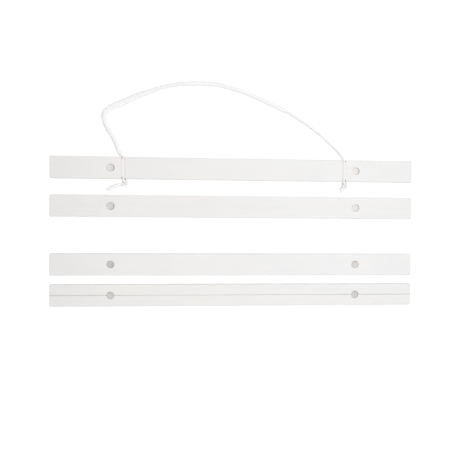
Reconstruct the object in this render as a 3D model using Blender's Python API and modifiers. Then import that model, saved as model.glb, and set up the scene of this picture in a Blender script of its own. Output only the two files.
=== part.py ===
"""A magnetic poster hanger, laid out flat and open with its inner faces up.

Four equal wooden slats make two pairs. Each pair clamps one edge of a poster between its inner faces,
held by two disc magnets in each slat. The top rear rail carries the hanging cord in two grooves, and a
knot under each groove stops the cord.

Frame: X runs along the rails, Y up the page towards the cord's loop, Z up from the surface that the
rails lie on. The origin is the centre of the four rails' footprint, on that surface.
"""

import math

import bmesh
import bpy
from mathutils import Matrix, Vector

MM = 0.001

# Rails
RAIL_LENGTH = 330 * MM
RAIL_WIDTH = 19.6 * MM
RAIL_THICKNESS = 5 * MM
EDGE_EASE = 0.6 * MM
EASE_STEPS = 3

# Gaps between the rails as they lie open, from the top rail down
TOP_PAIR_GAP = 14.5 * MM
MIDDLE_GAP = 32.6 * MM
BOTTOM_PAIR_GAP = 8.1 * MM

# Room that a closed pair leaves for the poster's sheet
SHEET_GAP = 0.3 * MM

# Magnets and their blind holes
MAGNET_DIAMETER = 6 * MM
MAGNET_HEIGHT = 2.5 * MM
MAGNET_EDGE = 0.25 * MM
MAGNET_TO_END = 53.2 * MM
MAGNET_RECESS = 0.5 * MM
MAGNET_SIDE_GAP = 0.3 * MM
MAGNET_SEAT_GAP = 0.3 * MM
HOLE_EDGE = 0.3 * MM
ROUND_STEPS = 40

# Fine scored lines along the front rails' inner faces, cut by a square blade set on its corner, so
# each is as deep as half its width
TOP_SCORE_DEPTH = 0.16 * MM
BOTTOM_SCORE_DEPTH = 0.27 * MM
SCORE_SIDES = 4

# Hanging cord, a soft braid, and its grooves across the top rear rail, which squeeze it narrower
CORD_DIAMETER = 3.2 * MM
CORD_IN_GROOVE_DIAMETER = 2.5 * MM
CORD_SWELL_LENGTH = 4 * MM
CORD_SINK = 0.3 * MM
GROOVE_SIDE_GAP = 0.3 * MM
GROOVE_TO_END = 64.3 * MM
GROOVE_FLARE = 0.5 * MM
GROOVE_STEPS = 12
CORD_JOINT_GAP = 0.3 * MM
CORD_OFF_SURFACE = 0.02 * MM
CORD_STEPS = 132

# Knots: the cord is squeezed thinner where it is drawn tight, and its turns follow a trefoil, whose
# ring, swing and rise are shares of the distance from turn to turn
KNOT_CORD_DIAMETER = 1.4 * MM
KNOT_TURN_GAP = 0.44 * MM
KNOT_SEAT_GAP = 0.3 * MM
KNOT_SQUEEZE_LENGTH = 1.6 * MM
KNOT_TAIL_SWELL_LENGTH = 4.4 * MM
KNOT_RING_SHARE = 1.09
KNOT_SWING_SHARE = 0.5
KNOT_RISE_SHARE = 0.72
KNOT_OFFSET_SHARE = 0.38
KNOT_ENTRY = math.radians(42)
KNOT_EXIT = math.radians(31)
KNOT_STEPS = 44
KNOT_TUBE_STEPS = 60

# Stretches of a tube that lie closer along it than this share of their diameters are one bend, and no
# gap is measured between them
NEIGHBOUR_SHARE = 1.5

CUT_OVERRUN = 1 * MM

# The loop's route, from the left groove's upper mouth to the right one's: X from the rails' middle,
# Y from the top rail's upper edge, Z from the surface
LOOP_ROUTE = [
    (-101.4, 1.2, 3.42),
    (-103.1, 3.2, 3.38),
    (-104.5, 5.6, 3.3),
    (-105.8, 8.6, 3.2),
    (-107.4, 12.3, 3.0),
    (-110.5, 18.2, 2.8),
    (-115.3, 26.2, 2.5),
    (-117.8, 33.5, 2.5),
    (-117.9, 38.1, 2.6),
    (-115.1, 42.1, 2.7),
    (-108.3, 45.9, 2.7),
    (-97.7, 50.6, 2.4),
    (-86.8, 55.8, 1.95),
    (-75.6, 59.9, 1.65),
    (-64.5, 63.7, 1.62),
    (-53.5, 66.2, 1.62),
    (-37.8, 67.4, 1.62),
    (-19.8, 67.1, 1.62),
    (1.5, 62.6, 1.62),
    (18.9, 56.3, 1.62),
    (32.7, 50.2, 1.62),
    (48.1, 43.3, 1.62),
    (60.0, 36.4, 1.62),
    (71.7, 28.6, 1.62),
    (83.4, 19.2, 1.65),
    (93.7, 9.7, 2.3),
    (98.3, 4.7, 2.95),
    (100.2, 1.8, 3.35),
]

# The cord's route from its groove into a knot, and each tail's from where it leaves its knot: X from
# the groove's line, Y from the rail's lower edge, Z from the surface
KNOT_LEAD_ROUTE = [
    (0.0, -1.1, 3.45),
    (0.2, -1.85, 3.4),
]
LEFT_TAIL_ROUTE = [
    (-2.2, -5.15, 1.3),
    (-5.2, -5.4, 1.6),
    (-8.2, -6.6, 1.62),
    (-11.2, -8.1, 1.62),
    (-14.3, -9.7, 1.62),
]
RIGHT_TAIL_ROUTE = [
    (-1.6, -5.6, 1.3),
    (-2.2, -6.5, 1.4),
    (-1.9, -7.9, 1.62),
    (-1.0, -9.2, 1.62),
]

# Places worked out from the sizes above
HALF_LENGTH = RAIL_LENGTH / 2
HALF_WIDTH = RAIL_WIDTH / 2
CORD_RADIUS = CORD_DIAMETER / 2
CORD_IN_GROOVE_RADIUS = CORD_IN_GROOVE_DIAMETER / 2
GROOVE_RADIUS = CORD_IN_GROOVE_RADIUS + GROOVE_SIDE_GAP
CORD_IN_GROOVE_Z = RAIL_THICKNESS - CORD_SINK - CORD_IN_GROOVE_RADIUS
MAGNET_X = HALF_LENGTH - MAGNET_TO_END
GROOVE_X = HALF_LENGTH - GROOVE_TO_END
HOLE_RADIUS = MAGNET_DIAMETER / 2 + MAGNET_SIDE_GAP
MAGNET_TOP_Z = RAIL_THICKNESS - MAGNET_RECESS
HOLE_FLOOR_Z = MAGNET_TOP_Z - MAGNET_HEIGHT - MAGNET_SEAT_GAP
FOOTPRINT = 4 * RAIL_WIDTH + TOP_PAIR_GAP + MIDDLE_GAP + BOTTOM_PAIR_GAP
TOP_REAR_Y = FOOTPRINT / 2 - HALF_WIDTH
TOP_FRONT_Y = TOP_REAR_Y - RAIL_WIDTH - TOP_PAIR_GAP
BOTTOM_REAR_Y = TOP_FRONT_Y - RAIL_WIDTH - MIDDLE_GAP
BOTTOM_FRONT_Y = BOTTOM_REAR_Y - RAIL_WIDTH - BOTTOM_PAIR_GAP
UPPER_EDGE_Y = TOP_REAR_Y + HALF_WIDTH
LOWER_EDGE_Y = TOP_REAR_Y - HALF_WIDTH
FOLD_Z = RAIL_THICKNESS + SHEET_GAP / 2


def clear_scene():
    for old in list(bpy.data.objects):
        bpy.data.objects.remove(old)


def new_collection(name):
    collection = bpy.data.collections.new(name)
    bpy.context.scene.collection.children.link(collection)
    return collection


def new_material(name, colour, roughness, metallic=0.0):
    material = bpy.data.materials.new(name)
    material.use_nodes = True
    shader = material.node_tree.nodes["Principled BSDF"]
    shader.inputs["Base Color"].default_value = (*colour, 1.0)
    shader.inputs["Roughness"].default_value = roughness
    shader.inputs["Metallic"].default_value = metallic
    return material


def new_object(name, data, collection, material=None):
    made = bpy.data.objects.new(name, data)
    collection.objects.link(made)
    if material is not None:
        data.materials.append(material)
    return made


def new_empty(name, collection, place, parent=None):
    empty = bpy.data.objects.new(name, None)
    collection.objects.link(empty)
    put_under(empty, parent, place)
    return empty


def world_place(thing):
    """Where an object is, when it and what it hangs from are moved but not turned."""
    place = Vector(thing.location)
    while thing.parent is not None:
        thing = thing.parent
        place += thing.location
    return place


def put_under(thing, parent, place):
    """Parents an object and puts its origin at a place given in the part's frame."""
    thing.parent = parent
    start = world_place(parent) if parent is not None else Vector()
    thing.location = Vector(place) - start


def shade_round(thing):
    """Shades a piece smooth where it is round, and lets its large faces look flat."""
    thing.data.shade_smooth()
    flat = thing.modifiers.new("flat_faces", "WEIGHTED_NORMAL")
    flat.keep_sharp = True


def as_cutter(thing):
    thing.hide_render = True
    thing.display_type = "WIRE"


def add_cut(target, cutter):
    as_cutter(cutter)
    cut = target.modifiers.new("cut_" + cutter.name, "BOOLEAN")
    cut.operation = "DIFFERENCE"
    cut.solver = "EXACT"
    cut.object = cutter


def box(name, size, collection, material=None):
    """A box about its own origin."""
    mesh = bpy.data.meshes.new(name)
    shape = bmesh.new()
    bmesh.ops.create_cube(shape, size=1.0)
    bmesh.ops.scale(shape, vec=size, verts=shape.verts)
    shape.to_mesh(mesh)
    shape.free()
    return new_object(name, mesh, collection, material)


def cone(name, near_radius, far_radius, length, sides, collection, turn=0.0):
    """A cone stump along local Z, near_radius at its low end, its corners turned about Z."""
    mesh = bpy.data.meshes.new(name)
    shape = bmesh.new()
    bmesh.ops.create_cone(
        shape,
        cap_ends=True,
        segments=sides,
        radius1=near_radius,
        radius2=far_radius,
        depth=length,
        matrix=Matrix.Rotation(turn, 4, "Z"),
    )
    shape.to_mesh(mesh)
    shape.free()
    return new_object(name, mesh, collection)


def turned(name, profile, collection, material=None):
    """A profile of (radius, height) points, from the top of the axis round to its foot, turned about Z."""
    mesh = bpy.data.meshes.new(name)
    corners = [(radius, 0.0, height) for radius, height in profile]
    edges = [(i, i + 1) for i in range(len(corners) - 1)]
    mesh.from_pydata(corners, edges, [])
    made = new_object(name, mesh, collection, material)
    screw = made.modifiers.new("turn", "SCREW")
    screw.axis = "Z"
    screw.steps = ROUND_STEPS
    screw.render_steps = ROUND_STEPS
    screw.use_merge_vertices = True
    screw.merge_threshold = 0.00001
    return made


def extruded(name, outline, half_depth, collection):
    """A flat outline in local X and Y, extruded both ways along local Z, as a mesh."""
    curve = bpy.data.curves.new(name + "_outline", "CURVE")
    curve.dimensions = "2D"
    curve.fill_mode = "BOTH"
    curve.extrude = half_depth
    spline = curve.splines.new("POLY")
    spline.points.add(len(outline) - 1)
    for point, (x, y) in zip(spline.points, outline):
        point.co = (x, y, 0.0, 1.0)
    spline.use_cyclic_u = True
    guide = new_object(name + "_outline", curve, collection)
    bpy.context.view_layer.update()
    graph = bpy.context.evaluated_depsgraph_get()
    mesh = bpy.data.meshes.new_from_object(guide.evaluated_get(graph))
    bpy.data.objects.remove(guide)
    shape = bmesh.new()
    shape.from_mesh(mesh)
    bmesh.ops.remove_doubles(shape, verts=shape.verts, dist=0.000001)
    bmesh.ops.recalc_face_normals(shape, faces=shape.faces)
    shape.to_mesh(mesh)
    shape.free()
    return new_object(name, mesh, collection)


def smooth_route(route, count):
    """count evenly spaced points on a smooth curve that passes through every point of the route."""
    points = [Vector(p) for p in route]
    first = points[0] * 2 - points[1]
    last = points[-1] * 2 - points[-2]
    knots = [first] + points + [last]
    fine = []
    steps = 16
    for i in range(1, len(knots) - 2):
        p0, p1, p2, p3 = knots[i - 1 : i + 3]
        t1 = math.sqrt((p1 - p0).length)
        t2 = t1 + math.sqrt((p2 - p1).length)
        t3 = t2 + math.sqrt((p3 - p2).length)
        for k in range(steps):
            t = t1 + (t2 - t1) * k / steps
            a1 = p0 * ((t1 - t) / t1) + p1 * (t / t1)
            a2 = p1 * ((t2 - t) / (t2 - t1)) + p2 * ((t - t1) / (t2 - t1))
            a3 = p2 * ((t3 - t) / (t3 - t2)) + p3 * ((t - t2) / (t3 - t2))
            b1 = a1 * ((t2 - t) / t2) + a2 * (t / t2)
            b2 = a2 * ((t3 - t) / (t3 - t1)) + a3 * ((t - t1) / (t3 - t1))
            fine.append(b1 * ((t2 - t) / (t2 - t1)) + b2 * ((t - t1) / (t2 - t1)))
    fine.append(points[-1])
    return evenly(fine, count)


def lengths_along(points):
    """The length of the way from the first point to each point."""
    run = [0.0]
    for near, far in zip(points, points[1:]):
        run.append(run[-1] + (far - near).length)
    return run


def evenly(points, count):
    """count points at even distances along a line of points, its two ends kept."""
    run = lengths_along(points)
    made = []
    i = 0
    for k in range(count):
        wanted = run[-1] * k / (count - 1)
        while i < len(run) - 2 and run[i + 1] < wanted:
            i += 1
        share = (wanted - run[i]) / (run[i + 1] - run[i])
        made.append(points[i].lerp(points[i + 1], share))
    return made


def ease(value, start, end):
    """0 before start, 1 after end, and a smooth step between them."""
    t = min(1.0, max(0.0, (value - start) / (end - start)))
    return t * t * (3 - 2 * t)


def least_gap(points, radii):
    """The least gap between stretches of a tube that aren't next to each other."""
    run = lengths_along(points)
    gap = math.inf
    for i, point in enumerate(points):
        for j in range(i + 1, len(points)):
            if run[j] - run[i] > NEIGHBOUR_SHARE * (radii[i] + radii[j]):
                gap = min(gap, (points[j] - point).length - radii[i] - radii[j])
    return gap


def tube(name, points, radii, collection, material):
    """A cord with filled ends along the points, with a radius for each."""
    curve = bpy.data.curves.new(name, "CURVE")
    curve.dimensions = "3D"
    curve.bevel_depth = CORD_RADIUS
    curve.bevel_resolution = 2
    curve.use_fill_caps = True
    spline = curve.splines.new("POLY")
    spline.points.add(len(points) - 1)
    for point, place, radius in zip(spline.points, points, radii):
        point.co = (*place, 1.0)
        point.radius = radius / CORD_RADIUS
    spline.use_smooth = True
    return new_object(name, curve, collection, material)


def magnet_hole_cutter(name, collection):
    """The blind hole of a magnet, its eased mouth and the overrun above it, about the rail's own origin."""
    face = RAIL_THICKNESS / 2
    floor = HOLE_FLOOR_Z - RAIL_THICKNESS / 2
    mouth = HOLE_RADIUS + HOLE_EDGE
    profile = [
        (0.0, face + CUT_OVERRUN),
        (mouth + CUT_OVERRUN, face + CUT_OVERRUN),
        (mouth, face),
        (HOLE_RADIUS, face - HOLE_EDGE),
        (HOLE_RADIUS, floor),
        (0.0, floor),
    ]
    return turned(name, profile, collection)


def groove_outline():
    """The groove's section: a round bottom and straight sides that run out above the rail's face."""
    axis_height = CORD_IN_GROOVE_Z - RAIL_THICKNESS / 2
    top = RAIL_THICKNESS / 2 + CUT_OVERRUN
    outline = [(GROOVE_RADIUS, top), (-GROOVE_RADIUS, top)]
    for k in range(GROOVE_STEPS + 1):
        turn = math.pi + math.pi * k / GROOVE_STEPS
        x = GROOVE_RADIUS * math.cos(turn)
        outline.append((x, axis_height + GROOVE_RADIUS * math.sin(turn)))
    return outline


def cut_groove(rail, side, collection):
    """Cuts one cord groove across a rail, with a flared mouth at each edge."""
    label = "left" if side < 0 else "right"
    trench = extruded("groove_" + label, groove_outline(), HALF_WIDTH + CUT_OVERRUN, collection)
    trench.rotation_euler = (math.radians(90), 0.0, 0.0)
    put_under(trench, rail, world_place(rail) + Vector((side * GROOVE_X, 0.0, 0.0)))
    add_cut(rail, trench)
    axis = world_place(rail)
    axis += Vector((side * GROOVE_X, 0.0, CORD_IN_GROOVE_Z - RAIL_THICKNESS / 2))
    reach = GROOVE_FLARE + CUT_OVERRUN
    for end in (-1, 1):
        name = "flare_" + label + ("_upper" if end > 0 else "_lower")
        flare = cone(
            name,
            GROOVE_RADIUS + GROOVE_FLARE - reach,
            GROOVE_RADIUS + GROOVE_FLARE + reach,
            2 * reach,
            ROUND_STEPS,
            collection,
            turn=math.pi / ROUND_STEPS,
        )
        flare.rotation_euler = (math.radians(-90 * end), 0.0, 0.0)
        put_under(flare, rail, axis + Vector((0.0, end * HALF_WIDTH, 0.0)))
        add_cut(rail, flare)


def cut_score(rail, depth, collection):
    """Cuts the fine V line along the middle of a rail's inner face."""
    length = RAIL_LENGTH + 2 * CUT_OVERRUN
    blade = cone("score_" + rail.name, depth, depth, length, SCORE_SIDES, collection)
    blade.rotation_euler = (0.0, math.radians(90), 0.0)
    put_under(blade, rail, world_place(rail) + Vector((0.0, 0.0, RAIL_THICKNESS / 2)))
    add_cut(rail, blade)


def make_rail(name, centre_y, parent, parts, cutters, material):
    """One slat with eased edges and its two magnet holes."""
    size = (RAIL_LENGTH, RAIL_WIDTH, RAIL_THICKNESS)
    rail = box(name, size, parts, material)
    put_under(rail, parent, (0.0, centre_y, RAIL_THICKNESS / 2))
    bevel = rail.modifiers.new("eased_edges", "BEVEL")
    bevel.width = EDGE_EASE
    bevel.segments = EASE_STEPS
    bevel.limit_method = "ANGLE"
    for side in (-1, 1):
        label = "_left" if side < 0 else "_right"
        hole = magnet_hole_cutter(name + "_hole" + label, cutters)
        put_under(hole, rail, world_place(rail) + Vector((side * MAGNET_X, 0.0, 0.0)))
        add_cut(rail, hole)
    return rail


def make_magnet(name, side, centre_y, parent, parts, material):
    """One disc magnet with eased rims, a little below the rail's inner face."""
    radius = MAGNET_DIAMETER / 2
    half = MAGNET_HEIGHT / 2
    profile = [
        (0.0, half),
        (radius - MAGNET_EDGE, half),
        (radius, half - MAGNET_EDGE),
        (radius, MAGNET_EDGE - half),
        (radius - MAGNET_EDGE, -half),
        (0.0, -half),
    ]
    magnet = turned(name, profile, parts, material)
    put_under(magnet, parent, (side * MAGNET_X, centre_y, MAGNET_TOP_Z - half))
    shade_round(magnet)


def loop_route():
    """The whole free cord: up the left groove, round the loop and down the right groove."""
    stops = [
        LOWER_EDGE_Y,
        TOP_REAR_Y,
        UPPER_EDGE_Y - CORD_DIAMETER,
        UPPER_EDGE_Y - CORD_SINK,
    ]
    left = [(-GROOVE_X, y, CORD_IN_GROOVE_Z) for y in stops]
    right = [(GROOVE_X, y, CORD_IN_GROOVE_Z) for y in reversed(stops)]
    loop = [(x * MM, UPPER_EDGE_Y + y * MM, z * MM) for x, y, z in LOOP_ROUTE]
    return left + loop + right


def cord_radii(points):
    """The hanging cord's radius at each point: squeezed in the grooves, full beyond their mouths."""
    run = lengths_along(points)
    radii = []
    for along in run:
        beyond_mouth = min(along, run[-1] - along) - RAIL_WIDTH
        swollen = ease(beyond_mouth, 0.0, CORD_SWELL_LENGTH)
        radii.append(CORD_IN_GROOVE_RADIUS + (CORD_RADIUS - CORD_IN_GROOVE_RADIUS) * swollen)
    return radii


def make_hanging_cord(parent, parts, material):
    points = smooth_route(loop_route(), CORD_STEPS)
    radii = cord_radii(points)
    for point, radius in zip(points, radii):
        point.z = max(point.z, radius + CORD_OFF_SURFACE)
    cord = tube("hanging_cord", points, radii, parts, material)
    put_under(cord, parent, (0.0, 0.0, 0.0))
    print("hanging cord length, mm:", round(lengths_along(points)[-1] / MM, 1))


def knot_turns(groove_x):
    """The knot's turns: a trefoil, open at one lobe, where the cord comes in over them and leaves under."""
    pitch = KNOT_CORD_DIAMETER + KNOT_TURN_GAP
    ring = KNOT_RING_SHARE * pitch
    swing = KNOT_SWING_SHARE * pitch
    rise = KNOT_RISE_SHARE * pitch
    turns = []
    for k in range(KNOT_STEPS):
        turn = KNOT_ENTRY + (2 * math.pi - KNOT_ENTRY - KNOT_EXIT) * k / (KNOT_STEPS - 1)
        radius = ring + swing * math.cos(3 * turn)
        heading = math.pi - 2 * turn
        flat = Vector((radius * math.cos(heading), radius * math.sin(heading), 0.0))
        turns.append(flat + Vector((0.0, 0.0, rise * math.sin(3 * turn))))
    highest = max(place.y for place in turns) + KNOT_CORD_DIAMETER / 2
    centre_x = groove_x + KNOT_OFFSET_SHARE * pitch
    centre_y = LOWER_EDGE_Y - KNOT_SEAT_GAP - highest
    centre = Vector((centre_x, centre_y, CORD_IN_GROOVE_Z - rise))
    return [centre + place for place in turns]


def below_groove(groove_x, route):
    """A route's points in the part's frame, from millimetres about a groove's lower mouth."""
    return [Vector((groove_x + x * MM, LOWER_EDGE_Y + y * MM, z * MM)) for x, y, z in route]


def make_knot(name, groove_x, tail_route, parent, parts, material):
    """One overhand knot under its groove, with its tail, as one unbroken tube."""
    start = Vector((groove_x, LOWER_EDGE_Y - CORD_JOINT_GAP, CORD_IN_GROOVE_Z))
    lead = [start] + below_groove(groove_x, KNOT_LEAD_ROUTE)
    tail = below_groove(groove_x, tail_route)
    points = smooth_route(lead + knot_turns(groove_x) + tail, KNOT_TUBE_STEPS)
    run = lengths_along(points)
    tail_start = run[-1] - lengths_along(tail)[-1]
    tight = KNOT_CORD_DIAMETER / 2
    radii = []
    for along in run:
        entering = 1 - ease(along, 0.0, KNOT_SQUEEZE_LENGTH)
        leaving = ease(along, tail_start + tight, tail_start + KNOT_TAIL_SWELL_LENGTH)
        radius = tight + (CORD_IN_GROOVE_RADIUS - tight) * entering + (CORD_RADIUS - tight) * leaving
        radii.append(radius)
    knot = tube(name, points, radii, parts, material)
    put_under(knot, parent, (0.0, 0.0, 0.0))
    print(name, "length, mm:", round(run[-1] / MM, 1))
    print(name, "least gap to itself, mm:", round(least_gap(points, radii) / MM, 2))


def build():
    clear_scene()
    parts = new_collection("poster_hanger")
    cutters = new_collection("cutters")
    paint = new_material("white_painted_wood", (0.84, 0.84, 0.83), 0.55)
    nickel = new_material("nickel_plated_magnet", (0.62, 0.60, 0.58), 0.35, 1.0)
    cotton = new_material("white_cotton_cord", (0.86, 0.86, 0.85), 0.9)

    top_rear = new_empty("top_rear_pair_half", parts, (0.0, TOP_REAR_Y, 0.0))
    top_fold_y = (TOP_REAR_Y + TOP_FRONT_Y) / 2
    top_front = new_empty("top_fold_axis", parts, (0.0, top_fold_y, FOLD_Z), top_rear)
    bottom_rear = new_empty("bottom_slide", parts, (0.0, BOTTOM_REAR_Y, 0.0), top_rear)
    bottom_fold_y = (BOTTOM_REAR_Y + BOTTOM_FRONT_Y) / 2
    bottom_front = new_empty("bottom_fold_axis", parts, (0.0, bottom_fold_y, FOLD_Z), bottom_rear)

    places = [
        ("top_rear", TOP_REAR_Y, top_rear),
        ("top_front", TOP_FRONT_Y, top_front),
        ("bottom_rear", BOTTOM_REAR_Y, bottom_rear),
        ("bottom_front", BOTTOM_FRONT_Y, bottom_front),
    ]
    rails = {}
    for label, y, parent in places:
        rails[label] = make_rail(label + "_rail", y, parent, parts, cutters, paint)
        make_magnet(label + "_magnet_left", -1, y, parent, parts, nickel)
        make_magnet(label + "_magnet_right", 1, y, parent, parts, nickel)
    for side in (-1, 1):
        cut_groove(rails["top_rear"], side, cutters)
    cut_score(rails["top_front"], TOP_SCORE_DEPTH, cutters)
    cut_score(rails["bottom_front"], BOTTOM_SCORE_DEPTH, cutters)
    for rail in rails.values():
        shade_round(rail)

    make_hanging_cord(top_rear, parts, cotton)
    make_knot("left_knot", -GROOVE_X, LEFT_TAIL_ROUTE, top_rear, parts, cotton)
    make_knot("right_knot", GROOVE_X, RIGHT_TAIL_ROUTE, top_rear, parts, cotton)


build()
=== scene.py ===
"""The looks of a magnetic poster hanger: painted slats, nickel discs and a braided cord on white.

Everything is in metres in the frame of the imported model: X runs along the rails, Y up the page
towards the cord's loop and Z up from the surface that the hanger lies on.
"""

import math
import random

import bpy
from mathutils import Matrix, Vector


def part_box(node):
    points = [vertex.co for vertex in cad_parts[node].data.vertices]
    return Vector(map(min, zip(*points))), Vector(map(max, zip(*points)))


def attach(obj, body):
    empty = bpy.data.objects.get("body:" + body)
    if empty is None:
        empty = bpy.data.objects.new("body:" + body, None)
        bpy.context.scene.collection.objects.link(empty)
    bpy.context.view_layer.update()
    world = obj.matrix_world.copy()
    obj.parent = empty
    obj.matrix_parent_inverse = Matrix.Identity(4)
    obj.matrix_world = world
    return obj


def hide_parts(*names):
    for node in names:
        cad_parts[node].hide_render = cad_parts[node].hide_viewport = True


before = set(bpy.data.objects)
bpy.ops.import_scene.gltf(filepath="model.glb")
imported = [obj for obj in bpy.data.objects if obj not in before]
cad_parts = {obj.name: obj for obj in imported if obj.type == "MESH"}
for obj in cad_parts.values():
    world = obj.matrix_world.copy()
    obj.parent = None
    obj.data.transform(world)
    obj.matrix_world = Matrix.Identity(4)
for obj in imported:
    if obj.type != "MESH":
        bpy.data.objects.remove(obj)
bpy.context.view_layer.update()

MM = 0.001

# Camera, fitted to the corners of the four rails and to their eight discs
CAMERA_PLACE = (-61.6 * MM, 13.55 * MM, 583 * MM)
CAMERA_LOOK = (0.0979, -0.0198, -0.995)
CAMERA_UP = (-0.0072, 1.0, 0.0)
CAMERA_LENS = 50.1
CAMERA_SENSOR = 36.0

# Light: the world's light on the hanger, the white that is seen of it, and two square lamps
WORLD_LIGHT = 0.4
WORLD_SEEN = 1.0
KEY_PLACE = (1.55, 0.9, 1.7)
KEY_SIZE = 0.35
KEY_WATTS = 9
TOP_PLACE = (0.094, 0.0, 0.62)
TOP_SIZE = 0.9
TOP_WATTS = 3.28
LIGHT_AIM = (0.03, 0.02, 0.0)

# Floor: how much of the white that is seen of it is its own and how much is lit, and how pale it is to
# light that spreads
FLOOR_SIZE = 8.0
FLOOR_DROP = 0.01 * MM
FLOOR_OWN_WHITE = 0.92
FLOOR_LIT_SHARE = 0.12
FLOOR_ALBEDO = 0.92

# Cord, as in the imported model, but for a shorter swell where it leaves its grooves
CORD_DIAMETER = 3.2 * MM
CORD_RADIUS = CORD_DIAMETER / 2
CORD_IN_GROOVE_RADIUS = 1.25 * MM
CORD_SWELL_LENGTH = 2.2 * MM
CORD_SINK = 0.3 * MM
CORD_IN_GROOVE_Z = 3.45 * MM
CORD_OFF_SURFACE = 0.02 * MM
GROOVE_X = 100.7 * MM
GROOVE_RADIUS = 1.55 * MM
GROOVE_FLARE = 0.5 * MM

# Between these distances from its ends the cord comes down onto the surface
CORD_LANDING = (26 * MM, 46 * MM)

# How the cord fills its grooves between their mouths: pressed into their corners, most on the side of
# the rail's end, and with less relief where it lies against a wall
GROOVE_FILL_RADIUS = 1.52 * MM
MOUTH_LENGTH = 1.8 * MM
OUTER_CORNER_FILLING = 0.93
LEFT_INNER_CORNER_FILLING = 0.55
RIGHT_INNER_CORNER_FILLING = 0.1
PRESSED_RELIEF_SHARE = 0.25
AT_WALL_POWER = 4

# How much wider than its diameter the soft cord lies, at distances along it in mm: it has flattened in
# its bend on the left and is drawn out thin on the right
CORD_SPREADS = [
    (0, 1.0),
    (20, 1.0),
    (24, 1.4),
    (28, 1.35),
    (36, 1.15),
    (48, 1.25),
    (60, 1.4),
    (68, 1.65),
    (80, 1.8),
    (92, 1.75),
    (104, 1.45),
    (116, 1.22),
    (130, 1.05),
    (150, 1.25),
    (185, 1.12),
    (215, 1.25),
    (232, 1.2),
    (244, 0.92),
    (255, 0.86),
    (298, 0.86),
    (306, 1.0),
    (330, 1.0),
]

# Knots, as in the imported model, but with the turns full enough to touch
KNOT_CORD_DIAMETER = 1.4 * MM
KNOT_TURN_GAP = 0.44 * MM
KNOT_SEAT_GAP = 0.3 * MM
KNOT_SQUEEZE_LENGTH = 1.6 * MM
KNOT_TAIL_SWELL_LENGTH = 4.4 * MM
KNOT_LOBES = 3
KNOT_ROUNDS = 2
KNOT_RING_SHARE = 1.09
KNOT_SWING_SHARE = 0.5
KNOT_RISE_SHARE = 0.72
KNOT_OFFSET_SHARE = 0.38
KNOT_ENTRY = math.radians(42)
KNOT_EXIT = math.radians(31)
KNOT_STEPS = 44
KNOT_FULL_RADIUS = 0.94 * MM

# Braid
BRAID_STRANDS = 8
BRAID_LEAD = 9.6 * MM
BRAID_RELIEF = 0.07 * MM
BRAID_WEAVE = 0.03 * MM
TUBE_SIDES = 32
TUBE_STEP = 0.2 * MM
ROUTE_FEWEST_STEPS = 4

# Frayed tips: loose strands that stand in a spiral, each turned by this share of a round, with their
# lean away from the tail and their length drawn between two shares
FRAY_STRANDS = 13
FRAY_LENGTH = 0.8 * MM
FRAY_RADIUS = 0.13 * MM
FRAY_SIDES = 6
FRAY_RINGS = 5
FRAY_TURN_SHARE = 0.382
FRAY_SPREAD_SHARE = 0.8
FRAY_LEANS = (0.1, 0.45)
FRAY_LENGTH_SHARES = (0.55, 1.0)
FRAY_SAG = 0.15
FRAY_TAPER = 0.45
FRAY_RELIEF = 0.8
LEFT_FRAY_SEED = 3
RIGHT_FRAY_SEED = 8

# The loop's route, from the left groove's upper mouth to the right one's, in mm: X from the rails'
# middle, Y from the top rail's upper edge, Z from the surface
LOOP_ROUTE = [
    (-101.4, 1.2, 3.42),
    (-103.1, 3.2, 3.38),
    (-104.5, 5.6, 3.3),
    (-105.8, 8.6, 3.2),
    (-107.4, 12.3, 3.0),
    (-110.5, 18.2, 2.8),
    (-115.3, 26.2, 2.5),
    (-117.8, 33.5, 2.5),
    (-117.9, 38.1, 2.6),
    (-115.1, 42.1, 2.7),
    (-108.3, 45.9, 2.7),
    (-97.7, 50.6, 2.4),
    (-86.8, 55.8, 1.95),
    (-75.6, 59.9, 1.65),
    (-64.5, 63.7, 1.62),
    (-53.5, 66.2, 1.62),
    (-37.8, 67.4, 1.62),
    (-19.8, 67.1, 1.62),
    (1.5, 62.6, 1.62),
    (18.9, 56.3, 1.62),
    (32.7, 50.2, 1.62),
    (48.1, 43.3, 1.62),
    (60.0, 36.4, 1.62),
    (71.7, 28.6, 1.62),
    (83.4, 19.2, 1.65),
    (93.7, 9.7, 2.3),
    (98.3, 4.7, 2.95),
    (100.2, 1.8, 3.35),
]

# The cord's route from its groove into a knot, and each tail's from where it leaves its knot, in mm:
# X from the groove's line, Y from the rail's lower edge, Z from the surface
KNOT_LEAD_ROUTE = [
    (0.0, -1.1, 3.45),
    (0.2, -1.85, 3.4),
]
LEFT_TAIL_ROUTE = [
    (-2.2, -5.15, 1.3),
    (-5.2, -5.4, 1.6),
    (-8.2, -6.6, 1.62),
    (-11.2, -8.1, 1.62),
    (-14.3, -9.7, 1.62),
]
RIGHT_TAIL_ROUTE = [
    (-1.6, -5.6, 1.3),
    (-2.2, -6.5, 1.4),
    (-1.9, -7.9, 1.62),
    (-1.0, -9.2, 1.62),
]

# Noise on the surfaces, each as its waves a metre along X, Y and Z, and its detail
GRAIN_NOISE = ((14.0, 1500.0, 1500.0), 4.0)
BAND_NOISE = ((9.0, 520.0, 520.0), 2.0)
PAINT_CLOUD_NOISE = ((30.0, 30.0, 30.0), 2.0)
ORANGE_PEEL_NOISE = ((900.0, 2200.0, 2200.0), 2.0)
BARE_GRAIN_NOISE = ((60.0, 2500.0, 2500.0), 3.0)
PIT_NOISE = ((1800.0, 1800.0, 1800.0), 4.0)
SCRATCH_NOISE = ((300.0, 6000.0, 900.0), 3.0)
TARNISH_NOISE = ((260.0, 260.0, 260.0), 2.0)
FIBRE_NOISE = ((5000.0, 5000.0, 5000.0), 4.0)

# Below, a name that ends in RANGE gives the two levels, or places, between which an effect comes in,
# one in MOST its share where it is strongest, and one in BUMP how deep and how strong its bumps are

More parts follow.
